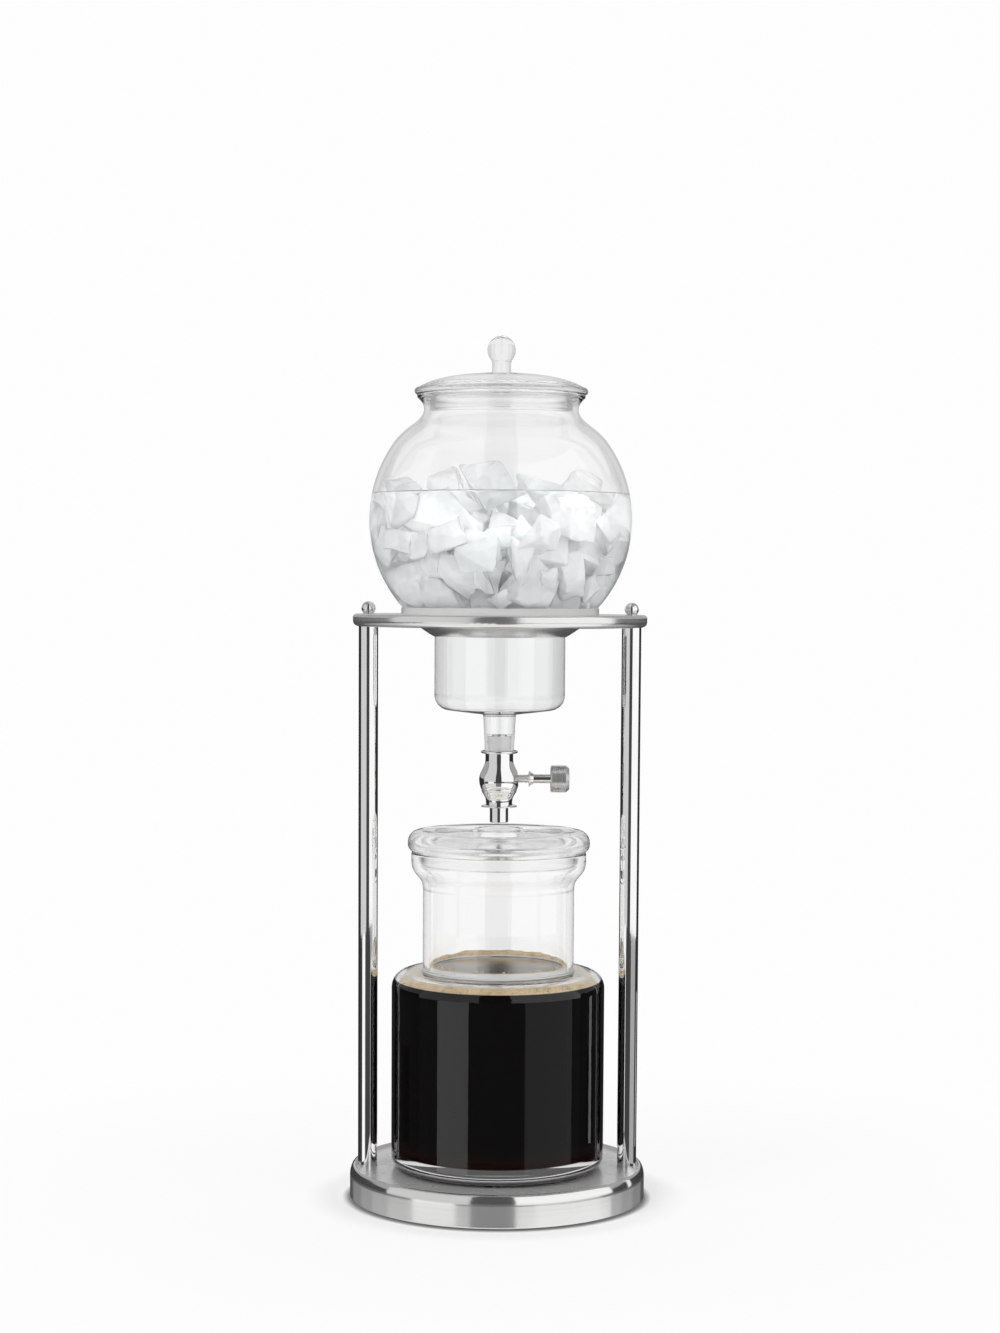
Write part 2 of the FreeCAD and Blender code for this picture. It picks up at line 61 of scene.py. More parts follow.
SHOULDER_BEND = 7.5         # inner radius of the carafe's shoulder
OUTLET_WALL = 1.6
WATER_Z, COFFEE_Z = 398.2, 123.9
WHITE = 0.985               # the room


# ---------------------------------------------------------------- profiles and turned meshes
def sweep_arc(centre, start, sweep):
    """Points of an arc from start round centre, end included."""
    radius = (start - centre).length
    count = max(2, math.ceil(max(abs(sweep) / math.radians(ARC_STEP_DEG), abs(sweep) * radius / ARC_STEP)))
    first = math.atan2(start.y - centre.y, start.x - centre.x)
    angles = [first + sweep * i / count for i in range(count + 1)]
    return [centre + radius * Vector((math.cos(a), math.sin(a))) for a in angles]


def wrapped(angle):
    return (angle + math.pi) % (2 * math.pi) - math.pi


def fillet(before, corner, after, radius):
    """Arc that rounds a corner."""
    to_before, to_after = (before - corner).normalized(), (after - corner).normalized()
    half = to_before.angle(to_after) / 2
    reach = radius / math.tan(half)
    centre = corner + (to_before + to_after).normalized() * (radius / math.sin(half))
    start, end = corner + to_before * reach, corner + to_after * reach
    turn = wrapped(math.atan2(*(end - centre).yx) - math.atan2(*(start - centre).yx))
    return sweep_arc(centre, start, turn)


def arc_through(a, b, c):
    """Arc from a to c by way of b."""
    ab, ac = b - a, c - a
    cross = 2 * (ab.x * ac.y - ab.y * ac.x)
    centre = a + Vector((ac.y * ab.length_squared - ab.y * ac.length_squared,
                         ab.x * ac.length_squared - ac.x * ab.length_squared)) / cross
    angle = [math.atan2(*(p - centre).yx) for p in (a, b, c)]
    turn = wrapped(angle[2] - angle[0])
    if (wrapped(angle[1] - angle[0]) > 0) != (turn > 0) or abs(wrapped(angle[1] - angle[0])) > abs(turn):
        turn -= math.copysign(2 * math.pi, turn)
    return sweep_arc(centre, a, turn)


def spline(points):
    """Natural cubic through the points, by chord length."""
    p = np.array([tuple(q) for q in points])
    chord = np.linalg.norm(np.diff(p, axis=0), axis=1)
    n = len(p)
    system, rhs = np.eye(n), np.zeros((n, 2))
    for i in range(1, n - 1):
        system[i, i - 1:i + 2] = chord[i - 1], 2 * (chord[i - 1] + chord[i]), chord[i]
        rhs[i] = 6 * ((p[i + 1] - p[i]) / chord[i] - (p[i] - p[i - 1]) / chord[i - 1])
    bend = np.linalg.solve(system, rhs)
    out = [Vector(p[0])]
    for i in range(n - 1):
        h = chord[i]
        count = max(4, math.ceil(h / SPLINE_STEP))
        for k in range(1, count + 1):
            u = h * k / count
            v = h - u
            q = ((bend[i] * v ** 3 + bend[i + 1] * u ** 3) / (6 * h)
                 + (p[i] / h - bend[i] * h / 6) * v + (p[i + 1] / h - bend[i + 1] * h / 6) * u)
            out.append(Vector(q))
    return out


def straight(a, b):
    """Points between a and b: one close to each end, and steps between."""
    length = (b - a).length
    if length < SHORT_RUN:
        return []
    middle = length - 2 * EDGE_GAP
    count = math.ceil(middle / LINE_STEP)
    shares = [EDGE_GAP / length]
    shares += [(EDGE_GAP + middle * i / count) / length for i in range(1, count)]
    shares.append(1 - EDGE_GAP / length)
    return [a + (b - a) * s for s in shares]


def profile(steps):
    """Closed list of (r, z) points.

    A tuple is a corner (r, z), or (r, z, radius) where it is rounded.
    A list holds the points that a smooth run passes: one makes an arc, more a spline.
    """
    corners = [Vector(s[:2]) if isinstance(s, tuple) else None for s in steps]
    count = len(steps)
    runs = {}
    for i, step in enumerate(steps):
        if corners[i] is not None:
            rounded = len(step) == 3
            runs[i] = fillet(corners[i - 1], corners[i], corners[(i + 1) % count], step[2]) if rounded \
                else [corners[i]]
    out = []
    for i in runs:
        follower = (i + 1) % count
        out += runs[i]
        if follower in runs:
            out += straight(runs[i][-1], runs[follower][0])
        else:
            through = [runs[i][-1]] + [Vector(q) for q in steps[follower]] + [runs[(follower + 1) % count][0]]
            out += (arc_through(*through) if len(through) == 3 else spline(through))[1:-1]
    return out


def skin(bm, pairs):
    """Faces between pairs of rings of points; a ring of one point is a pole."""
    for ring, other in pairs:
        around = max(len(ring), len(other))
        if around == 1:
            continue
        for k in range(around):
            j = (k + 1) % around
            if len(ring) == 1:
                bm.faces.new((ring[0], other[k], other[j]))
            elif len(other) == 1:
                bm.faces.new((ring[k], ring[j], other[0]))
            else:
                bm.faces.new((ring[k], ring[j], other[j], other[k]))
    bmesh.ops.recalc_face_normals(bm, faces=bm.faces)


def turn_mesh(name, points, segments=SEGMENTS):
    """Mesh of revolution of a closed profile about the z axis."""
    bm = bmesh.new()
    rings = []
    for p in points:
        if p.x < 1e-5:
            rings.append([bm.verts.new((0, 0, p.y))])
        else:
            rings.append([bm.verts.new((p.x * math.cos(2 * math.pi * k / segments),
                                        p.x * math.sin(2 * math.pi * k / segments), p.y))
                          for k in range(segments)])
    skin(bm, zip(rings, rings[1:] + rings[:1]))
    return finish_mesh(name, bm)


def finish_mesh(name, bm, sharp=35):
    """Object in metres from a bmesh in millimetres; edges sharper than so many degrees stay sharp."""
    bm.transform(Matrix.Scale(MM, 4))
    mesh = bpy.data.meshes.new(name)
    bm.to_mesh(mesh)
    bm.free()
    mesh.shade_smooth()
    if sharp:
        mesh.set_sharp_from_angle(angle=math.radians(sharp))
    piece = bpy.data.objects.new(name, mesh)
    bpy.context.scene.collection.objects.link(piece)
    return piece


def coat(piece, material):
    piece.data.materials.clear()
    piece.data.materials.append(material)


def dress(piece, material, body, slot, *replaced):
    """Gives a piece its material and body, and hides the nodes that it stands for; slot is not used."""
    coat(piece, material)
    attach(piece, body)
    if replaced:
        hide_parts(*replaced)
    return piece


def bowl_r(z, radius=BOWL_RADIUS):
    return math.sqrt(radius ** 2 - (z - BOWL_Z) ** 2)


def bowl_z(r, radius=BOWL_RADIUS):
    return BOWL_Z - math.sqrt(radius ** 2 - r ** 2)


# ---------------------------------------------------------------- material nodes
class Nodes:
    """Short calls to add nodes to a tree."""

    def __init__(self, tree):
        self.nodes, self.links = tree.nodes, tree.links

    def add(self, kind, **settings):
        node = self.nodes.new(kind)
        for key, value in settings.items():
            setattr(node, key, value)
        return node

    def put(self, value, socket):
        """Links the value, where it is another node's, or sets it."""
        if isinstance(value, bpy.types.NodeSocket):
            self.links.new(value, socket)
        else:
            socket.default_value = value

    def math(self, operation, a, b=0.0, clamp=False):
        node = self.add("ShaderNodeMath", operation=operation, use_clamp=clamp)
        self.put(a, node.inputs[0])
        self.put(b, node.inputs[1])
        return node.outputs[0]

    def mix(self, share, without, within, colour=False):
        """Without where share is 0 and within where it is 1."""
        node = self.add("ShaderNodeMix", data_type="RGBA" if colour else "FLOAT")
        first, second, out = (6, 7, 2) if colour else (2, 3, 0)
        self.put(share, node.inputs[0])
        self.put(without, node.inputs[first])
        self.put(within, node.inputs[second])
        return node.outputs[out]

    def noise(self, scale, detail=2.0, rough=0.5, vector=None):
        node = self.add("ShaderNodeTexNoise")
        for key, number in (("Scale", scale), ("Detail", detail), ("Roughness", rough)):
            node.inputs[key].default_value = number
        self.put(vector or self.place, node.inputs["Vector"])
        return node.outputs["Fac"]

    def span(self, value, low, high, to_low, to_high, smooth=False):
        node = self.add("ShaderNodeMapRange", interpolation_type="SMOOTHSTEP" if smooth else "LINEAR")
        self.put(value, node.inputs["Value"])
        for key, number in zip(("From Min", "From Max", "To Min", "To Max"), (low, high, to_low, to_high)):
            node.inputs[key].default_value = number
        return node.outputs[0]


class Paint(Nodes):
    """A material with its Principled shader."""

    def __init__(self, name):
        self.material = bpy.data.materials.new(name)
        self.material.use_nodes = True
        super().__init__(self.material.node_tree)
        self.shader = self.nodes["Principled BSDF"]
        self.place = self.add("ShaderNodeTexCoord").outputs["Object"]

    def set(self, **values):
        for key, value in values.items():
            self.shader.inputs[key.replace("_", " ")].default_value = value

    def feed(self, key, source):
        self.links.new(source, self.shader.inputs[key])

    def split(self):
        node = self.add("ShaderNodeSeparateXYZ")
        self.put(self.place, node.inputs[0])
        return node.outputs

    def radius(self, x, y):
        squares = self.math("ADD", self.math("MULTIPLY", x, x), self.math("MULTIPLY", y, y))
        return self.math("SQRT", squares)

    def cells(self, scale, feature, **values):
        """Distances of a Voronoi pattern."""
        node = self.add("ShaderNodeTexVoronoi", feature=feature)
        for key, value in dict(Scale=scale, **values).items():
            node.inputs[key].default_value = value
        self.put(self.place, node.inputs["Vector"])
        return node.outputs["Distance"]

    def ramp(self, value, *stops):
        node = self.add("ShaderNodeValToRGB")
        self.put(value, node.inputs[0])
        while len(node.color_ramp.elements) < len(stops):
            node.color_ramp.elements.new(0.5)
        for element, (at, colour) in zip(node.color_ramp.elements, stops):
            element.position = at
            element.color = (*colour, 1)
        return node.outputs["Color"]

    def turned(self, pitch, axis="z"):
        """Coordinates in which noise makes lines round an axis, about pitch millimetres apart."""
        x, y, z = self.split()
        if axis == "x":
            z = self.math("SUBTRACT", z, TAP_Z * MM)
            x, z = z, x
        scale = 1 / (pitch * MM)
        node = self.add("ShaderNodeCombineXYZ")
        self.put(self.math("MULTIPLY", self.radius(x, y), scale), node.inputs[0])
        self.put(self.math("MULTIPLY", z, scale), node.inputs[1])
        return node.outputs[0]

    def round_tangent(self, axis):
        """Stretches highlights across the lines that turning leaves round an axis."""
        node = self.add("ShaderNodeTangent", direction_type="RADIAL", axis=axis.upper())
        self.feed("Tangent", node.outputs[0])

    def bump(self, height, distance, before=None):
        node = self.add("ShaderNodeBump")
        node.inputs["Strength"].default_value = 1.0
        node.inputs["Distance"].default_value = distance
        self.put(height, node.inputs["Height"])
        if before:
            self.put(before, node.inputs["Normal"])
        self.feed("Normal", node.outputs[0])
        return node.outputs[0]


def polished_steel(name, colour, rough, wobble=1.0e-6):
    p = Paint(name)
    p.set(Metallic=1.0)
    tone = p.noise(60.0, 3.0)
    p.feed("Base Color", p.ramp(tone, (0.3, [c * 0.95 for c in colour]), (0.7, colour)))
    p.feed("Roughness", p.span(p.noise(900.0, 2.0), 0.3, 0.7, rough * 0.7, rough * 1.35))
    p.bump(p.noise(60.0, 2.0), wobble)
    return p.material


def turned_steel(name, colour, rough, depth, axis="z", pitch=0.22, drawn=0.8, metal=1.0):
    """Steel with fine lines round an axis; drawn is how far they stretch the highlights."""
    p = Paint(name)
    p.set(Metallic=metal, Anisotropic=drawn, Anisotropic_Rotation=0.25)
    p.round_tangent(axis)
    lines = p.noise(1.0, 3.0, 0.6, p.turned(pitch, axis))
    broad = p.noise(1.0, 2.0, 0.5, p.turned(pitch * 9, axis))
    tone = p.math("ADD", p.math("MULTIPLY", lines, 0.5), p.math("MULTIPLY", broad, 0.5))
    p.feed("Base Color", p.ramp(tone, (0.35, [c * 0.93 for c in colour]), (0.65, colour)))
    p.feed("Roughness", p.span(lines, 0.3, 0.7, rough * 0.75, rough * 1.25))
    p.bump(lines, depth)
    return p.material


def base_steel():
    """Bright floor inside the rim, satin turned lines on the rim and the side."""
    p = Paint("steel_base")
    p.set(Anisotropic=0.5, Anisotropic_Rotation=0.25)
    p.round_tangent("z")
    x, y, z = p.split()
    high = p.math("GREATER_THAN", z, (BASE_FLOOR_Z - 0.3) * MM)
    floor = p.math("MULTIPLY", p.math("LESS_THAN", p.radius(x, y), FLOOR_RADIUS * MM), high)
    shoulder = p.math("SUBTRACT", p.span(z, 13.2 * MM, 15.2 * MM, 0.0, 1.0, True), floor, True)
    lines = p.noise(1.0, 3.0, 0.6, p.turned(0.2))
    broad = p.noise(1.0, 2.0, 0.5, p.turned(2.4))
    metal = p.span(shoulder, 0.0, 1.0, 0.84, 0.96)
    p.feed("Metallic", p.math("SUBTRACT", metal, p.math("MULTIPLY", floor, 0.34)))
    p.feed("Base Color", p.ramp(broad, (0.3, (0.79, 0.79, 0.78)), (0.7, (0.83, 0.83, 0.82))))
    satin = p.math("SUBTRACT", p.span(lines, 0.3, 0.7, 0.14, 0.20), p.math("MULTIPLY", shoulder, 0.06))
    bright = p.span(p.noise(60.0, 2.0), 0.3, 0.7, 0.25, 0.29)
    p.feed("Roughness", p.mix(floor, satin, bright))
    p.bump(lines, 1.0e-6)
    return p.material


def clear_glass(name, colour, bend=1.47, rough=0.0, wobble=2e-6, thick_from=None):
    """Clear glass; above thick_from, in metres, it is solid and takes more of the light."""
    p = Paint(name)
    p.set(Transmission_Weight=1.0, IOR=bend, Roughness=rough)
    tone = p.ramp(p.noise(9.0, 2.0), (0.3, [c * 0.995 for c in colour]), (0.7, colour))
    if thick_from:
        thick = p.math("GREATER_THAN", p.split()[2], thick_from)
        tone = p.mix(thick, tone, (0.885, 0.888, 0.888, 1), colour=True)
    p.feed("Base Color", tone)
    p.bump(p.noise(38.0, 2.0, 0.4), wobble)
    return p.material


def silicone():
    p = Paint("silicone_clear")
    p.set(Transmission_Weight=0.28, IOR=1.41)
    p.feed("Base Color", p.ramp(p.noise(140.0), (0.3, (0.93, 0.935, 0.935)), (0.7, (0.97, 0.975, 0.975))))
    p.feed("Roughness", p.span(p.noise(500.0), 0.3, 0.7, 0.05, 0.12))
    p.bump(p.noise(900.0), 8e-6)
    return p.material


def rubber():
    p = Paint("rubber_black")
    tone = p.noise(300.0, 4.0)
    p.feed("Base Color", p.ramp(tone, (0.3, (0.018, 0.018, 0.018)), (0.7, (0.035, 0.034, 0.033))))
    p.feed("Roughness", p.span(p.noise(800.0), 0.3, 0.7, 0.5, 0.7))
    p.bump(p.noise(2600.0, 3.0), 2.5e-5)
    return p.material


def fluoropolymer():
    p = Paint("fluoropolymer_white")
    lines = p.noise(1.0, 3.0, 0.6, p.turned(0.12, "x"))
    p.feed("Base Color", p.ramp(lines, (0.3, (0.80, 0.80, 0.78)), (0.7, (0.88, 0.88, 0.86))))
    p.feed("Roughness", p.span(lines, 0.3, 0.7, 0.3, 0.45))
    p.bump(lines, 4e-6)
    return p.material


def woven_mesh():
    """Wires over and under each other at 0.35 mm."""
    p = Paint("steel_mesh")
    p.set(Metallic=1.0)
    wires = [p.math("SINE", p.math("MULTIPLY", along, 2 * math.pi / (0.35 * MM))) for along in p.split()[:2]]
    over = p.math("MULTIPLY", *wires)
    height = p.math("ADD", p.math("ABSOLUTE", wires[0]), p.math("ABSOLUTE", wires[1]))
    tone = p.math("ADD", p.math("MULTIPLY", over, 0.3), 0.5)
    p.feed("Base Color", p.ramp(tone, (0.2, (0.36, 0.36, 0.35)), (0.8, (0.50, 0.50, 0.49))))
    p.feed("Roughness", p.span(over, -1.0, 1.0, 0.10, 0.16))
    p.bump(height, 3.0e-6)
    return p.material


def cold_water():
    p = Paint("ice_water")
    p.set(Transmission_Weight=1.0, IOR=1.33, Roughness=0.0)
    p.feed("Base Color", p.ramp(p.noise(14.0), (0.3, (0.980, 0.987, 0.991)), (0.7, (0.988, 0.992, 0.995))))
    p.bump(p.noise(60.0, 2.0), 2.0e-5)
    return p.material


def cracked_ice():
    p = Paint("ice")
    p.set(Transmission_Weight=0.42, IOR=1.20)
    each = p.add("ShaderNodeNewGeometry").outputs["Random Per Island"]
    cloud = p.noise(70.0, 4.0, 0.6)
    tone = p.math("ADD", p.math("MULTIPLY", cloud, 0.6), p.math("MULTIPLY", each, 0.4))
    p.feed("Base Color", p.ramp(tone, (0.2, (0.955, 0.972, 0.982)), (0.5, (0.982, 0.989, 0.992)),
                                (0.75, (0.998, 0.998, 0.998))))
    p.feed("Roughness", p.span(p.noise(120.0, 3.0), 0.3, 0.7, 0.03, 0.14))
    facets = p.bump(p.cells(150.0, "SMOOTH_F1", Smoothness=0.25), 1.6e-3)
    p.bump(p.noise(420.0, 2.0), 5e-5, facets)
    return p.material


def black_coffee(name, gloss):
    """Near black, with a painted dark red glow low down, standing in for the light that comes through the
    foot of the glass.
    """
    p = Paint(name)
    p.set(IOR=1.33, Specular_IOR_Level=gloss, Roughness=0.04)
    # painted glow: the base colour goes from dark red low down to near black higher up, along a wavering edge
    waver = p.math("MULTIPLY", p.math("SUBTRACT", p.noise(40.0), 0.5), 6 * MM)
    height = p.span(p.math("ADD", p.split()[2], waver), 26 * MM, 40 * MM, 0.0, 1.0, True)
    p.feed("Base Color", p.ramp(height, (0.0, (0.016, 0.0022, 0.001)), (0.5, (0.005, 0.0011, 0.0007)),
                                (1.0, (0.0012, 0.0008, 0.0006))))
    p.bump(p.noise(30.0), 4e-6)
    return p.material


def foam_stuff():
    """Small bubbles with pale walls, in lighter and darker patches."""
    p = Paint("coffee_foam")
    walls = p.span(p.cells(850.0, "DISTANCE_TO_EDGE"), 0.0, 0.14, 0.0, 1.0)
    tone = p.math("ADD", p.math("MULTIPLY", walls, 0.35), p.math("MULTIPLY", p.noise(160.0, 3.0), 0.65))
    p.feed("Base Color", p.ramp(tone, (0.30, (0.13, 0.07, 0.03)), (0.42, (0.53, 0.38, 0.19)),
                                (0.72, (0.74, 0.59, 0.36))))
    p.feed("Roughness", p.span(walls, 0.0, 1.0, 0.3, 0.6))
    p.bump(tone, 2.5e-4)
    return p.material


STEEL = (0.88, 0.878, 0.872)
mats = {
    "steel_polished": polished_steel("steel_polished", STEEL, 0.035),
    "steel_base": base_steel(),
    "steel_plate": turned_steel("steel_plate", (0.82, 0.82, 0.81), 0.21, 2.0e-6, drawn=0.3, metal=0.9),
    "steel_brushed_knob": turned_steel("steel_brushed_knob", (0.66, 0.66, 0.66), 0.26, 2.5e-6, "x", 0.14,
                                       drawn=0.4, metal=0.85),
    "steel_plain": turned_steel("steel_plain", (0.60, 0.60, 0.59), 0.16, 3.0e-6, "z", 0.3),
    "steel_mesh": woven_mesh(),
    "glass_clear": clear_glass("glass_clear", (0.980, 0.981, 0.980)),
    "glass_pressed": clear_glass("glass_pressed", (0.985, 0.986, 0.985), 1.38, 0.10,
                                 thick_from=(LID_CROWN_Z + 0.5) * MM),
    "silicone_clear": silicone(),
    "rubber_black": rubber(),
    "fluoropolymer_white": fluoropolymer(),
    "ice_water": cold_water(),
    "ice": cracked_ice(),
    "coffee": black_coffee("coffee", 0.5),
    "coffee_at_glass": black_coffee("coffee_at_glass", 0.06),
    "coffee_foam": foam_stuff(),
}

for node, name in {
        "base_tray": "steel_base", "base_backing_plate": "steel_plain", "base_pad": "rubber_black",
        "post_left": "steel_polished", "post_right": "steel_polished", "post_screws": "steel_plain",
        "post_washers": "steel_plain", "finial_left": "steel_polished", "finial_right": "steel_polished",
        "top_plate": "steel_plate", "seat_cup": "steel_plate", "seat_gasket": "silicone_clear",
        "outlet_stopper": "silicone_clear", "valve_body": "steel_polished", "valve_cap": "steel_polished",
        "drip_tube": "steel_polished", "stem_gland": "steel_polished", "needle_tip": "fluoropolymer_white",
        "stem_o_ring": "rubber_black", "lock_ring": "steel_polished", "valve_knob": "steel_brushed_knob",
        "knob_set_screw": "steel_plain", "filter_plate": "steel_plain", "filter_mesh": "steel_mesh",
        "filter_seal": "silicone_clear", "mouth_gasket": "silicone_clear"}.items():
    coat(nodes[node], mats[name])


# ---------------------------------------------------------------- glass
def neck_run(inset):
    """Points of the globe's neck, so far inside its outer face."""
    ball = BOWL_RADIUS - inset
    return [
        (bowl_r(428.5 - 0.6 * inset, ball), 428.5 - 0.6 * inset),
        (51.5 - 0.70 * inset, 436.0 - 0.70 * inset),
        (45.7 - 0.80 * inset, 440.9 - 0.60 * inset),
        (WAIST_RADIUS - inset, 445.8),
        (44.2 - 0.95 * inset, 449.5 + 0.30 * inset)]


def globe_profile():
    """Outside from the lip down to the outlet's tip, then back up inside."""
    ball_top_z, ball, sump_r = 424.0, BOWL_RADIUS - GLASS_WALL, SUMP_RADIUS - GLASS_WALL
    bore_top, bore_tip = OUTLET_TOP_RADIUS - OUTLET_WALL, OUTLET_TIP_RADIUS - OUTLET_WALL
    floor_z = OUTLET_TOP_Z + GLASS_WALL
    return profile([
        (43.73, LIP_Z, 0.5), (47.9, LIP_Z, 1.0), (46.9, 452.6), neck_run(0)[::-1],
        (bowl_r(ball_top_z), ball_top_z), [(BOWL_RADIUS, BOWL_Z)], (SUMP_RADIUS, bowl_z(SUMP_RADIUS)),
        (SUMP_RADIUS, SUMP_BOTTOM_Z, 8.5), (OUTLET_TOP_RADIUS, OUTLET_TOP_Z, 1.2),
        (OUTLET_TIP_RADIUS, OUTLET_TIP_Z, 0.4), (bore_tip, OUTLET_TIP_Z, 0.4), (bore_top, OUTLET_TOP_Z),
        (bore_top, floor_z, 1.5), (sump_r, SUMP_BOTTOM_Z + GLASS_WALL, 6.0), (sump_r, bowl_z(sump_r, ball)),
        [(ball, BOWL_Z)], (bowl_r(ball_top_z - 2, ball), ball_top_z - 2), neck_run(GLASS_WALL),
        (43.6, LIP_Z - 0.6)])


def lid_profile():
    stem_top_z = LID_KNOB_Z - math.sqrt(LID_KNOB_RADIUS ** 2 - LID_STEM_RADIUS ** 2)
    edge_r = LID_EDGE / 2
    ring_r, ring_foot_z = WAIST_RADIUS - GLASS_WALL - 0.5, 444.5
    return profile([
        (0, LID_KNOB_Z + LID_KNOB_RADIUS), [(LID_KNOB_RADIUS, LID_KNOB_Z)],
        (LID_STEM_RADIUS, stem_top_z), [(LID_STEM_RADIUS - 0.3, (stem_top_z + LID_CROWN_Z) / 2)],
        (LID_STEM_RADIUS, LID_CROWN_Z), [(20.0, 465.1), (32.0, 463.4), (42.0, 460.4)],
        (LID_RADIUS - edge_r, LIP_Z + LID_EDGE), [(LID_RADIUS, LIP_Z + edge_r)],
        (LID_RADIUS - edge_r, LIP_Z), (ring_r, LIP_Z), (ring_r - 0.3, ring_foot_z, 1.2),
        (ring_r - 2.8, ring_foot_z, 1.2), (ring_r - 2.8, LIP_Z + 1.4),
        [(31.0, 459.0), (21.0, 461.2), (9.0, 462.3)], (0, 462.5)])


def chamber_profile():
    bore_r, flare_bore = CHAMBER_RADIUS - CHAMBER_WALL, CHAMBER_FLARE - CHAMBER_WALL
    spigot_r, spigot_z = CARAFE_MOUTH - 0.5, CHAMBER_FOOT_Z - SPIGOT_DEPTH
    return profile([
        (flare_bore, CHAMBER_TOP_Z, 1.4), (CHAMBER_FLARE, CHAMBER_TOP_Z, 1.4), (CHAMBER_FLARE, 192.2),
        [(48.9, 188.6), (46.4, 184.6), (43.7, 181.0)], (CHAMBER_RADIUS, 176.5),
        (CHAMBER_RADIUS, CHAMBER_FOOT_Z, 1.2), (spigot_r, CHAMBER_FOOT_Z),
        (spigot_r, spigot_z, 1.2), (spigot_r - 3.0, spigot_z, 1.2), (spigot_r - 3.0, CHAMBER_FOOT_Z),
        (bore_r, CHAMBER_FOOT_Z), (bore_r, 177.5),
        [(40.6, 181.8), (43.4, 186.2), (45.8, 190.2)], (flare_bore, 193.4)])


def drip_lid_profile():
    plug_r = CHAMBER_FLARE - CHAMBER_WALL - 0.6
    low, crest = CHAMBER_TOP_Z, DRIP_LID_CREST_Z
    return profile([
        (DRIP_HOLE, 203.4), (DRIP_HOLE, crest + 0.2), [(DRIP_HOLE + 1.0, crest + 1.2)],
        (DRIP_HOLE + 2.2, crest + 0.2), [(16.4, 207.3), (21.0, 206.6), (30.0, 207.0), (38.0, 209.0)],
        (44.0, crest), [(48.6, 208.9), (51.0, 206.0), (DRIP_LID_RADIUS, 202.7), (51.0, 199.9)],
        (49.2, low), (plug_r, low), (plug_r - 0.5, low - 7.4, 1.2), (plug_r - 3.0, low - 7.4, 1.2),
        (plug_r - 3.0, 203.0, 2.5), (30.0, 203.4)])


def carafe_profile():
    bore_r = CARAFE_RADIUS - GLASS_WALL
    under_z = CARAFE_MOUTH_Z - GLASS_WALL
    inside_z = BASE_FLOOR_Z + CARAFE_BOTTOM
    return profile([
        (0, BASE_FLOOR_Z), (CARAFE_RADIUS, BASE_FLOOR_Z, 7.0), (CARAFE_RADIUS, CARAFE_MOUTH_Z, 9.5),
        (CARAFE_MOUTH, CARAFE_MOUTH_Z, 1.2), (CARAFE_MOUTH, under_z, 0.8), (bore_r, under_z, SHOULDER_BEND),
        (bore_r, inside_z, 4.5), (0, inside_z)])


blown, pressed = mats["glass_clear"], mats["glass_pressed"]
dress(turn_mesh("globe_glass", globe_profile()), blown, "globe", "glass_clear", "water_globe")
dress(turn_mesh("globe_lid_glass", lid_profile()), pressed, "globe_lid", "glass_clear", "globe_lid")
dress(turn_mesh("chamber_glass", chamber_profile()), blown, "chamber", "glass_clear", "brew_chamber")
dress(turn_mesh("drip_lid_glass", drip_lid_profile()), pressed, "drip_lid", "glass_clear", "drip_lid")
dress(turn_mesh("carafe_glass", carafe_profile()), blown, "carafe", "glass_clear", "carafe")


# ---------------------------------------------------------------- needle stem with its thread
def stem_mesh():
    """The needle stem along x, with its 0.8 mm thread between first and last."""
    crest, root, pitch, first, last, step = 2.33, 1.95, 0.8, 8.3, 16.2, 0.1
    flat, flank_width, run_out = 0.08, 0.30, 0.5    # half the crest and a flank in turns; millimetres
    rows = [(0.0, 1.25, 0), (0.8, 1.25, 0), (0.8, 3.05, 0), (1.7, 3.05, 0), (1.7, 5.2, 0), (2.3, 5.8, 0),
            (2.3, 7.15, 0), (1.4, 7.15, 0), (1.4, 8.05, 0), (2.3, 8.05, 0)]
    count = round((last - first) / step)
    rows += [(2.3, first + (last - first) * i / count, 1) for i in range(count + 1)]
    rows += [(2.5, 16.6, 0), (2.5, 16.8, 0), (2.5, 22.0, 0), (2.5, 28.9, 0), (2.5, 29.1, 0), (2.0, 29.1, 0),
             (2.0, 36.1, 0), (0.0, 36.1, 0)]
    around = 64
    bm = bmesh.new()
    rings = []
    for r, x, threaded in rows:
        if r == 0.0:
            rings.append([bm.verts.new((x, 0, TAP_Z))])
            continue
        ring = []
        for k in range(around):
            a = 2 * math.pi * k / around
            radius = r
            if threaded:
                turn = ((x - first) / pitch - a / (2 * math.pi)) % 1.0
                flank = 1 - min(1, max(0, (abs(turn - 0.5) - flat) / flank_width))
                ends = min(1, (x - first) / run_out, (last - x) / run_out)
                radius = root + (crest - root) * (1 - (1 - flank) * ends)
            ring.append(bm.verts.new((x, radius * math.cos(a), TAP_Z + radius * math.sin(a))))
        rings.append(ring)
    skin(bm, zip(rings, rings[1:]))
    return finish_mesh("needle_stem_threaded", bm)


dress(stem_mesh(), mats["steel_polished"], "knob", "steel_polished", "valve_stem")


# ---------------------------------------------------------------- contents: water and ice
ICE_PEAKS = (               # centres and radii of the chunks that rise above the water
    ((-54, -10, 399), 12.5), ((-31, 4, 402), 13), ((-6, -14, 404.5), 16.5),
    ((21, 8, 401), 15), ((45, -6, 401.5), 15))
ICE_LOOSE = 118             # chunks placed at random below them
ICE_SIZES = (6.5, 9.5, 12.5, 14.5, 17.0)
ICE_TOP_Z, ICE_FLOOR_Z = 401, 325
ICE_REACH = 60              # how far from the axis they start
ICE_STEPS, ICE_SPACING = 260, 0.74  # rounds of pressing apart, and the gap wanted per sum of two radii
CHIPPED = 0.16              # share of a chunk's corners that are broken off


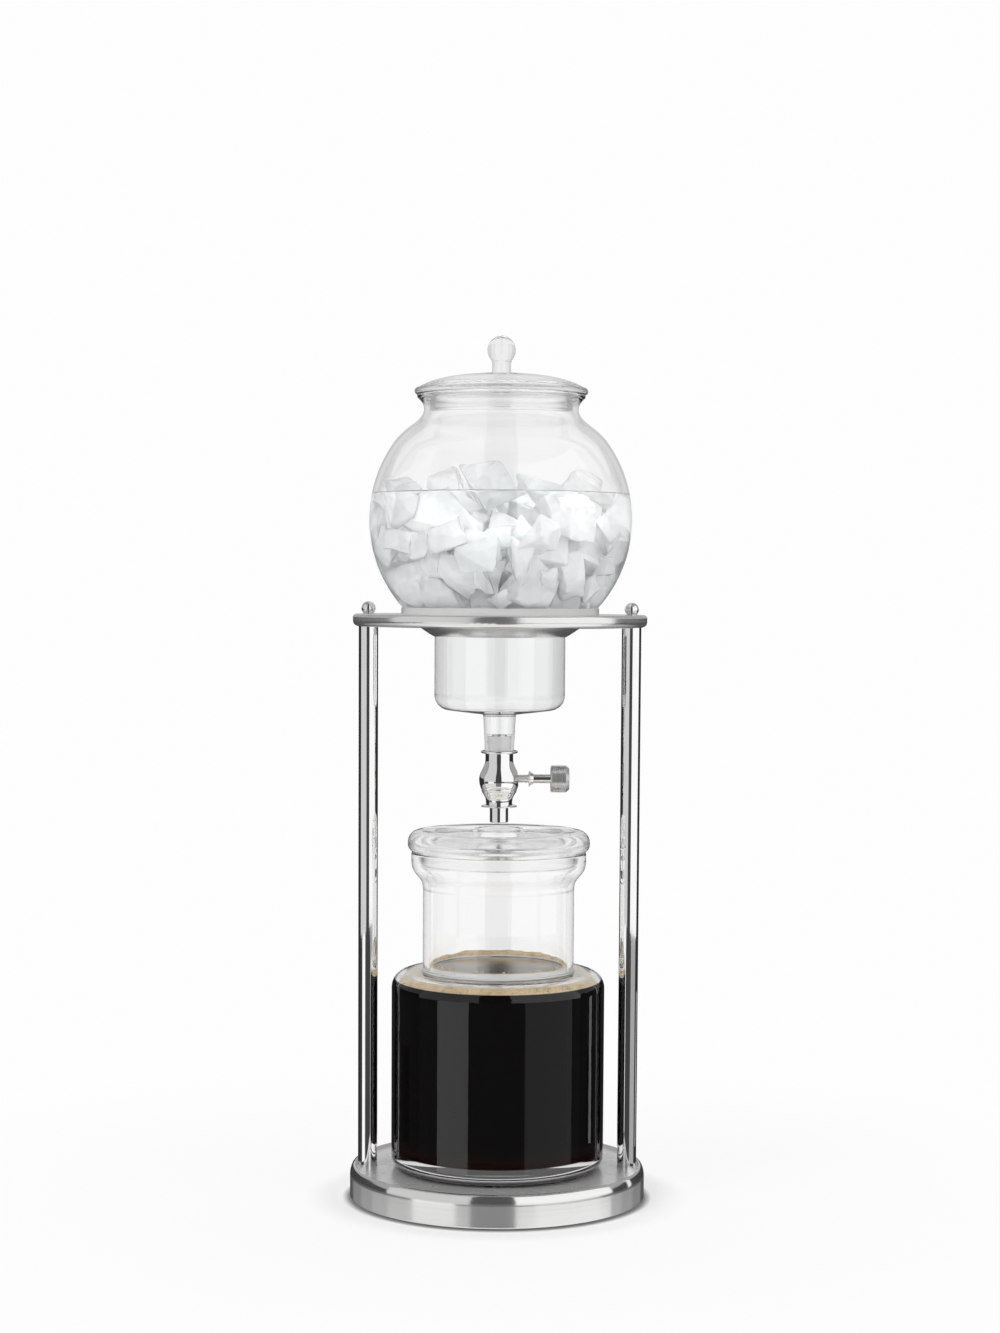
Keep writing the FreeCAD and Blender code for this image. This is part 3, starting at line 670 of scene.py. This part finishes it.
def water_profile():
    """The water, 0.2 mm into the glass, up to its level."""
    over = 0.2
    ball, sump_r = BOWL_RADIUS - GLASS_WALL + over, SUMP_RADIUS - GLASS_WALL + over
    bore_top, bore_tip = OUTLET_TOP_RADIUS - OUTLET_WALL + over, OUTLET_TIP_RADIUS - OUTLET_WALL + over
    plug_z = OUTLET_TIP_Z + 9.3
    share = (plug_z - OUTLET_TIP_Z) / (OUTLET_TOP_Z - OUTLET_TIP_Z)
    bore_low = bore_tip + share * (bore_top - bore_tip)
    level_r = bowl_r(WATER_Z, ball)
    return profile([
        (0, plug_z), (bore_low, plug_z), (bore_top, OUTLET_TOP_Z),
        (bore_top, OUTLET_TOP_Z + GLASS_WALL - over, 1.3),
        (sump_r, SUMP_BOTTOM_Z + GLASS_WALL - over, 6.2), (sump_r, bowl_z(sump_r, ball)),
        [(ball, BOWL_Z)], (level_r, WATER_Z + 0.7), (level_r - 0.7, WATER_Z + 0.15), (level_r - 1.8, WATER_Z),
        (0, WATER_Z)])


def random_way(rng):
    return Vector([rng.gauss(0, 1) for _ in range(3)]).normalized()


def ice_chunk(rng, radius):
    """A shard about radius in half size, in millimetres: a battered block with broken corners."""
    half = [radius * rng.uniform(0.55, 0.95) for _ in range(3)]
    points = []
    for sx in (-1, 1):
        for sy in (-1, 1):
            for sz in (-1, 1):
                if rng.random() < CHIPPED:
                    continue
                points.append([s * h * rng.uniform(0.60, 1.05) for s, h in zip((sx, sy, sz), half)])
    for _ in range(5):
        way = random_way(rng)
        points.append([w * h * rng.uniform(0.85, 1.12) for w, h in zip(way, half)])
    bm = bmesh.new()
    for p in points:
        bm.verts.new(p)
    bmesh.ops.convex_hull(bm, input=bm.verts)
    bmesh.ops.delete(bm, geom=[v for v in bm.verts if not v.link_faces], context="VERTS")
    bmesh.ops.dissolve_limit(bm, angle_limit=math.radians(14), verts=bm.verts, edges=bm.edges)
    bmesh.ops.bevel(bm, geom=bm.edges, offset=radius * 0.05, segments=2, profile=0.6, affect="EDGES",
                    clamp_overlap=True)
    bmesh.ops.triangulate(bm, faces=bm.faces)
    long_edges = [e for e in bm.edges if e.calc_length() > radius * 0.25]
    bmesh.ops.subdivide_edges(bm, edges=long_edges, cuts=2, use_grid_fill=True)
    bmesh.ops.remove_doubles(bm, verts=bm.verts, dist=0.02)
    shift = Vector([rng.uniform(-50, 50) for _ in range(3)])
    for v in bm.verts:
        dents = noise.noise(v.co * 0.16 + shift) * 2.0 + noise.noise(v.co * 0.5 + shift) * 0.6
        v.co += v.co.normalized() * dents
    turn = rng.uniform(0, 6.28)
    bm.transform(Matrix.Rotation(turn, 4, random_way(rng)))
    return bm


def ice_places(rng):
    """Centres and radii of the chunks, pressed apart inside the globe until they only just touch."""
    ball = BOWL_RADIUS - GLASS_WALL - 0.6
    chunks = [[Vector(place), radius] for place, radius in ICE_PEAKS]
    for _ in range(ICE_LOOSE):
        radius = rng.choice(ICE_SIZES) + rng.uniform(-1.2, 1.2)
        reach, angle = ICE_REACH * math.sqrt(rng.random()), rng.uniform(0, 2 * math.pi)
        height = rng.uniform(ICE_FLOOR_Z, ICE_TOP_Z + 7)
        chunks.append([Vector((reach * math.cos(angle), reach * math.sin(angle), height)), radius])
    for _ in range(ICE_STEPS):
        for i, (p, r) in enumerate(chunks):
            for j in range(i):
                q, s = chunks[j]
                gap = p - q
                want = (r + s) * ICE_SPACING
                if gap.length < want:
                    push = gap.normalized() * (want - gap.length) * 0.5
                    p += push
                    q -= push
        for (p, _), (place, _) in zip(chunks, ICE_PEAKS):
            p[:] = place
        for p, r in chunks[len(ICE_PEAKS):]:
            p.z = min(p.z - 0.2, ICE_TOP_Z - r * 0.55)
            out = p - Vector((0, 0, BOWL_Z))
            limit = ball - r * 0.80
            if out.length > limit:
                p -= out.normalized() * (out.length - limit)
            low = ICE_FLOOR_Z + r * 0.72 if p.xy.length > 20 else ICE_FLOOR_Z - 2 + r * 0.9
            p.z = max(p.z, low)
    return chunks


def ice_mesh():
    rng = random.Random(21)
    whole = bmesh.new()
    ball = BOWL_RADIUS - GLASS_WALL - 0.5
    for place, radius in ice_places(rng):
        chunk = ice_chunk(rng, radius)
        for v in chunk.verts:
            v.co += place
            out = v.co - Vector((0, 0, BOWL_Z))
            if out.length > ball:
                v.co -= out.normalized() * (out.length - ball)
        shard = bpy.data.meshes.new("shard")
        chunk.to_mesh(shard)
        chunk.free()
        whole.from_mesh(shard)
        bpy.data.meshes.remove(shard)
    return finish_mesh("globe_ice", whole, 0)


dress(turn_mesh("globe_water", water_profile(), 128), mats["ice_water"], "globe", "ice_water")
dress(ice_mesh(), mats["ice"], "globe", "ice")


# ---------------------------------------------------------------- contents: coffee and foam
def shoulder_r(z):
    """Inner radius of the carafe's round shoulder at a height."""
    low, centre_r = CARAFE_MOUTH_Z - GLASS_WALL - SHOULDER_BEND, CARAFE_RADIUS - GLASS_WALL - SHOULDER_BEND
    return centre_r + math.sqrt(SHOULDER_BEND ** 2 - max(0.0, z - low) ** 2)


def shoulder_z(r):
    """Height of the inside of the shoulder, or of the glass round the mouth, at a radius."""
    low, centre_r = CARAFE_MOUTH_Z - GLASS_WALL - SHOULDER_BEND, CARAFE_RADIUS - GLASS_WALL - SHOULDER_BEND
    return low + math.sqrt(SHOULDER_BEND ** 2 - max(0.0, r - centre_r) ** 2)


def coffee_profile():
    """The coffee, 0.1 mm into the glass, with the chamber's spigot standing in a dimple."""
    over = 0.1
    bore = CARAFE_RADIUS - GLASS_WALL + over
    foot_z = BASE_FLOOR_Z + CARAFE_BOTTOM - over
    bend_z = CARAFE_MOUTH_Z - GLASS_WALL - SHOULDER_BEND
    middle_z = (bend_z + COFFEE_Z) / 2
    dimple_z = CHAMBER_FOOT_Z - SPIGOT_DEPTH - 0.5
    return profile([
        (0, foot_z), (bore, foot_z, 4.6), (bore, bend_z), [(shoulder_r(middle_z) + over, middle_z)],
        (shoulder_r(COFFEE_Z) + over, COFFEE_Z), (40.5, COFFEE_Z, 0.3), (40.3, dimple_z), (36.5, dimple_z),
        (36.3, COFFEE_Z, 0.3), (0, COFFEE_Z)])


def foam_ring(bm, inner_at, outer_at, low, top_at, around=360, across=10):
    """Lumpy ring; its radii, foot and top are given by direction, and its sides are closed."""
    tops, feet = [], []
    for k in range(around):
        a = 2 * math.pi * k / around
        way = Vector((math.cos(a), math.sin(a), 0))
        inner, outer = inner_at(way), outer_at(way)
        row = []
        for i in range(across):
            r = inner + (outer - inner) * i / (across - 1)
            row.append(bm.verts.new((r * way.x, r * way.y, top_at(way, r, i / (across - 1)))))
        tops.append(row)
        feet.append([bm.verts.new((r * way.x, r * way.y, low)) for r in (inner, outer)])
    for k in range(around):
        j = (k + 1) % around
        for i in range(across - 1):
            bm.faces.new((tops[k][i], tops[k][i + 1], tops[j][i + 1], tops[j][i]))
        bm.faces.new((feet[k][0], tops[k][0], tops[j][0], feet[j][0]))
        bm.faces.new((tops[k][-1], feet[k][1], feet[j][1], tops[j][-1]))
        bm.faces.new((feet[k][1], feet[k][0], feet[j][0], feet[j][1]))


def lumps(way, r):
    spot = Vector((r * way.x, r * way.y, 3.0))
    return noise.noise(spot * 0.3) * 0.6 + noise.noise(spot * 1.1) * 0.5


def bubbles(bm, rng, count, reaches, heights, sizes):
    """Little balls at random places in a ring; each span is (least, most)."""
    for _ in range(count):
        a, r = rng.uniform(0, 2 * math.pi), rng.uniform(*reaches)
        size = rng.uniform(*sizes)
        spot = Matrix.Translation((r * math.cos(a), r * math.sin(a), rng.uniform(*heights)))
        bmesh.ops.create_icosphere(bm, subdivisions=2, radius=size, matrix=spot)


def foam_mesh():
    """Foam on the coffee: it fills the gap under the carafe's shoulder, ragged on its inner side."""
    rng = random.Random(5)
    bm = bmesh.new()

    def inner_at(way):
        return 42.3 + 0.8 * noise.noise(way * 2.1) + 0.5 * noise.noise(way * 9.0)

    def top_at(way, r, share):
        under = min(CARAFE_MOUTH_Z - 3.0, shoulder_z(r)) - 0.12
        body = min(1.0, share * 4) ** 0.6
        return min(under, COFFEE_Z + body * (2.9 + 0.35 * lumps(way, r)))

    foam_ring(bm, inner_at, lambda way: shoulder_r(COFFEE_Z + 0.1) - 0.05, COFFEE_Z - 0.35, top_at)
    bubbles(bm, rng, 240, (43.0, 52.5), (126.0, 126.3), (0.3, 0.62))
    bmesh.ops.recalc_face_normals(bm, faces=bm.faces)
    return finish_mesh("carafe_foam", bm, 60)


def residue_mesh():
    """Foam that has dried on the filter's edge ring, taller at the back."""
    rng = random.Random(9)
    bm = bmesh.new()
    top_z = CHAMBER_FOOT_Z + 2.55

    def inner_at(way):
        return 37.4 + 0.35 * noise.noise(way * 5.0)

    def top_at(way, r, share):
        ragged = 0.9 * noise.noise(way * 3.3) + 0.5 * noise.noise(way * 11.0)
        height = 0.2 + 2.6 * max(0.0, way.y) ** 0.7 + ragged
        return top_z + max(0.05, height * (0.35 + 0.65 * share) + 0.25 * lumps(way, r))

    foam_ring(bm, inner_at, lambda way: 39.2, top_z, top_at, 240, 5)
    bubbles(bm, rng, 90, (37.4, 38.6), (top_z + 0.4, top_z + 1.3), (0.25, 0.5))
    bmesh.ops.recalc_face_normals(bm, faces=bm.faces)
    return finish_mesh("filter_foam", bm, 60)


coffee = dress(turn_mesh("carafe_coffee", coffee_profile(), 160), mats["coffee"], "carafe", "coffee")
coffee.data.materials.append(mats["coffee_at_glass"])
for face in coffee.data.polygons:
    face.material_index = 0 if face.normal.z > 0.9 else 1
dress(foam_mesh(), mats["coffee_foam"], "carafe", "coffee_foam")
dress(residue_mesh(), mats["coffee_foam"], "filter", "coffee_foam")


# ---------------------------------------------------------------- room: cards, backdrop, floor, lamps
DARK, DEEP = 0.03, 0.06     # levels of the dark cards
LIT, LIT_IN_WATER = 1.6, 8.0    # light from a card on matt things in glass, and on those under water
BEHIND_VESSEL, UNDER_WATER = 3.5, 4.5   # surfaces that light has passed there, less a half
CARD_REACH, TABLE_REACH = 2.1, 6.0
LAMP_AIM = (0, 0, 0.25)

# heights at which rows of cards begin, by the piece that mirrors them; the last row ends at ROOF
BASE_ROW, CARAFE_ROW, TAP_ROW, HIGH_ROW, ROOF = -1.2, -0.45, -0.12, 2.6, 6.0
SIDE_FOOT_ROW, SIDE_ROW, PLATE_ROW = -4.0, -0.44, 0.36

# directions in degrees from the camera's side, positive to the right
FRONT, LEFT, RIGHT = (-20, 14), (-92, -20), (14, 98)
SIDE_END, CORNER_END, BACK = 150, 165, 180


def stage_mesh(name, verts, faces, material):
    mesh = bpy.data.meshes.new(name)
    mesh.from_pydata(verts, [], faces)
    mesh.materials.append(material)
    piece = bpy.data.objects.new(name, mesh)
    bpy.context.scene.collection.objects.link(piece)
    return piece


def bare_material(name):
    """A material without nodes, and the calls to add them."""
    material = bpy.data.materials.new(name)
    material.use_nodes = True
    material.node_tree.nodes.clear()
    return material, Nodes(material.node_tree)


def glow(name, level, clear, share):
    """A card's tones: in a mirror (level), through glass (clear), and on matt things in glass.

    share is how far a reflection inside glass goes from level to white.
    """
    material, t = bare_material(name)
    path = t.add("ShaderNodeLightPath").outputs

    def past(depth, without, within, limit=0.5):
        return t.mix(t.math("GREATER_THAN", path[depth], limit), without, within)

    inside = max(level, level + (WHITE - level) * share)
    mirrored = past("Transmission Depth", level, past("Transmission Depth", inside, level, BEHIND_VESSEL))
    matt = past("Transmission Depth", LIT, LIT_IN_WATER, UNDER_WATER)
    light = t.add("ShaderNodeEmission")
    t.put(past("Diffuse Depth", past("Glossy Depth", clear, mirrored), matt), light.inputs["Color"])
    t.put(light.outputs[0], t.add("ShaderNodeOutputMaterial").inputs["Surface"])
    return material


def only_reflected(piece):
    """Keeps a stage piece from the camera, from open matt surfaces and from shadows."""
    piece.visible_camera = piece.visible_diffuse = piece.visible_shadow = False
    return piece


def card(name, level, clear, from_deg, to_deg, low, high, reach=CARD_REACH, centre=(0, 0), share=0.7):
    """Curved card round a centre; angles from the camera's side, positive to the right."""
    count = max(2, round(abs(to_deg - from_deg) / 3))
    verts, faces = [], []
    for i in range(count + 1):
        a = math.radians(from_deg + (to_deg - from_deg) * i / count)
        x, y = centre[0] + reach * math.sin(a), centre[1] - reach * math.cos(a)
        verts += [(x, y, low), (x, y, high)]
        if i:
            k = 2 * i
            faces.append((k - 2, k, k + 1, k - 1))
    return only_reflected(stage_mesh(name, verts, faces, glow(name, level, clear, share)))


card("card_front", DEEP, WHITE, *FRONT, TAP_ROW, ROOF)
card("card_front_wide", DEEP, WHITE, -31, 29, CARAFE_ROW, TAP_ROW)
card("card_front_low", 0.22, WHITE, *FRONT, BASE_ROW, CARAFE_ROW)
card("card_left", 0.70, WHITE, *LEFT, TAP_ROW, HIGH_ROW)
card("card_left_high", 0.40, WHITE, *LEFT, HIGH_ROW, ROOF)
card("card_left_body", 1.10, WHITE, -67, -31, CARAFE_ROW, TAP_ROW)
card("card_left_edge", DEEP, WHITE, LEFT[0], -67, CARAFE_ROW, TAP_ROW)
card("card_left_low", 0.80, WHITE, *LEFT, BASE_ROW, CARAFE_ROW)
card("card_right", 1.10, WHITE, *RIGHT, TAP_ROW, HIGH_ROW)
card("card_right_high", 0.40, WHITE, *RIGHT, HIGH_ROW, ROOF)
card("card_right_body", 0.42, WHITE, 29, 86, CARAFE_ROW, TAP_ROW)
card("card_right_edge", DEEP, WHITE, 86, RIGHT[1], CARAFE_ROW, TAP_ROW)
card("card_right_low", 1.30, WHITE, *RIGHT, BASE_ROW, CARAFE_ROW)
for side, way, first in (("left", -1, LEFT[0]), ("right", 1, RIGHT[1])):
    side_end, corner_end, back = way * SIDE_END, way * CORNER_END, way * BACK
    card("card_side_low_" + side, DARK, 0.74, first, side_end, SIDE_ROW, PLATE_ROW)
    card("card_foot_near_" + side, 0.56, 0.74, first, way * 112, SIDE_FOOT_ROW, SIDE_ROW)
    card("card_foot_mid_" + side, 0.38, 0.74, way * 112, way * 130, SIDE_FOOT_ROW, SIDE_ROW)
    card("card_foot_far_" + side, 0.22, 0.74, way * 130, side_end, SIDE_FOOT_ROW, SIDE_ROW)
    card("card_side_high_" + side, 0.40, 0.74, first, side_end, PLATE_ROW, ROOF)
    card("card_corner_low_" + side, DARK, 0.88, side_end, corner_end, SIDE_FOOT_ROW, PLATE_ROW)
    card("card_corner_high_" + side, 0.40, 0.88, side_end, corner_end, PLATE_ROW, ROOF)
    card("card_back_low_" + side, DARK, 0.97, corner_end, back, SIDE_FOOT_ROW, PLATE_ROW)
    card("card_back_high_" + side, 0.60, 0.97, corner_end, back, PLATE_ROW, ROOF, share=0.1)
# a seam behind the sump and chamber, a dim band behind the carafe's foot, and the highlight on its right
card("card_slit", 0.05, 0.90, 178.3, 181.7, 0.0, 0.6, reach=0.5)
card("card_low", 0.10, 0.17, 100, 260, -0.02, 0.062, reach=0.2, share=0.0).visible_glossy = False
card("card_streak", 1.00, WHITE, 116.4, 122.1, -0.01, 0.09, reach=0.22, centre=(0.052, -0.031))
rim = [2 * math.pi * k / 48 for k in range(48)]
sky_verts = [(CARD_REACH * math.cos(a), CARD_REACH * math.sin(a), ROOF) for a in rim]
only_reflected(stage_mesh("card_sky", sky_verts, [tuple(range(48))], glow("card_sky", 0.25, WHITE, 0.7)))

world = bpy.data.worlds.new("studio")
bpy.context.scene.world = world
world.use_nodes = True
sky = Nodes(world.node_tree)
path = sky.add("ShaderNodeLightPath").outputs
seen = path["Is Camera Ray"]
for kind in ("Is Glossy Ray", "Is Transmission Ray"):
    seen = sky.math("MAXIMUM", seen, path[kind])
room = sky.nodes["Background"].inputs
sky.put(sky.mix(seen, (0.55, 0.55, 0.555, 1), (WHITE, WHITE, WHITE, 1), colour=True), room["Color"])
room["Strength"].default_value = 1.0


def floor():
    """Pale tabletop that keeps the object's shadow, with a painted contact shadow in a thin ring at the
    base's edge, and fades into the white room.
    """
    material, t = bare_material("table")
    place = t.add("ShaderNodeTexCoord").outputs["Object"]
    length = t.add("ShaderNodeVectorMath", operation="LENGTH")
    t.put(place, length.inputs[0])
    away = length.outputs["Value"]
    # the room's white takes over just outside the base, and fully further out
    near, far = t.span(away, 0.0865, 0.112, 0.0, 0.86, True), t.span(away, 0.14, 0.42, 0.0, 0.14, True)
    share = t.math("ADD", near, far)
    tint = t.span(t.noise(300.0, vector=place), 0.0, 1.0, 0.93, 0.95)
    # painted contact shadow: the table's colour darkens in a thin ring right at the base's edge
    painted_contact_shade = t.span(away, 0.0845, 0.0885, 0.30, 1.0)
    matt = t.add("ShaderNodeBsdfDiffuse")
    t.put(t.math("MULTIPLY", tint, painted_contact_shade), matt.inputs["Color"])
    light = t.add("ShaderNodeEmission")
    t.put((WHITE, WHITE, WHITE, 1), light.inputs["Color"])
    mix = t.add("ShaderNodeMixShader")
    for value, socket in zip((share, matt.outputs[0], light.outputs[0]), mix.inputs):
        t.put(value, socket)
    t.put(mix.outputs[0], t.add("ShaderNodeOutputMaterial").inputs["Surface"])
    verts, faces = [(0, 0, 0)], []
    for k in range(96):
        a = 2 * math.pi * k / 96
        verts.append((TABLE_REACH * math.cos(a), TABLE_REACH * math.sin(a), 0))
        faces.append((0, 1 + k, 1 + (k + 1) % 96))
    piece = stage_mesh("table_top", verts, faces, material)
    piece.visible_glossy = False


floor()


def lamp(name, place, size, power):
    """Round lamp that points at the object's middle."""
    data = bpy.data.lights.new(name, "AREA")
    data.shape = "DISK"
    data.size = size
    data.energy = power
    piece = bpy.data.objects.new(name, data)
    piece.location = place
    piece.rotation_euler = (Vector(LAMP_AIM) - Vector(place)).to_track_quat("-Z", "Y").to_euler()
    piece.visible_glossy = piece.visible_transmission = piece.visible_camera = False
    bpy.context.scene.collection.objects.link(piece)


lamp("key", (-1.1, -1.0, 1.6), 0.9, 11.0)
lamp("fill", (1.4, -0.9, 1.2), 1.1, 6.0)
lamp("top", (0.1, 0.4, 2.0), 1.2, 7.0)


# ---------------------------------------------------------------- camera, as fitted to the photo
FOCAL, PHOTO_HEIGHT = 2600, 1333    # pixels
SENSOR = 36                 # millimetres
SHIFT = (0.0007, 0.1001)    # shares of the frame
CAMERA_PLACE, TILT, ROLL = (0, -1.4672, 0.3452), 85.4, 0.33

camera = bpy.data.objects.new("camera", bpy.data.cameras.new("camera"))
bpy.context.scene.collection.objects.link(camera)
camera.data.sensor_fit = "VERTICAL"
camera.data.sensor_width = camera.data.sensor_height = SENSOR
camera.data.lens = FOCAL * SENSOR / PHOTO_HEIGHT
camera.data.shift_x, camera.data.shift_y = SHIFT
camera.data.clip_start, camera.data.clip_end = 0.05, 60
camera.matrix_world = (Matrix.Translation(CAMERA_PLACE) @ Matrix.Rotation(math.radians(TILT), 4, "X")
                       @ Matrix.Rotation(math.radians(ROLL), 4, "Z"))
bpy.context.scene.camera = camera

scene = bpy.context.scene
scene.view_settings.view_transform = "Standard"
scene.cycles.max_bounces = 72
scene.cycles.transmission_bounces = 60
scene.cycles.glossy_bounces = 24
scene.cycles.diffuse_bounces = 16
scene.cycles.transparent_max_bounces = 16
scene.cycles.use_denoising = True
scene.cycles.caustics_reflective = True
scene.cycles.caustics_refractive = True
scene.cycles.sample_clamp_indirect = 4.0
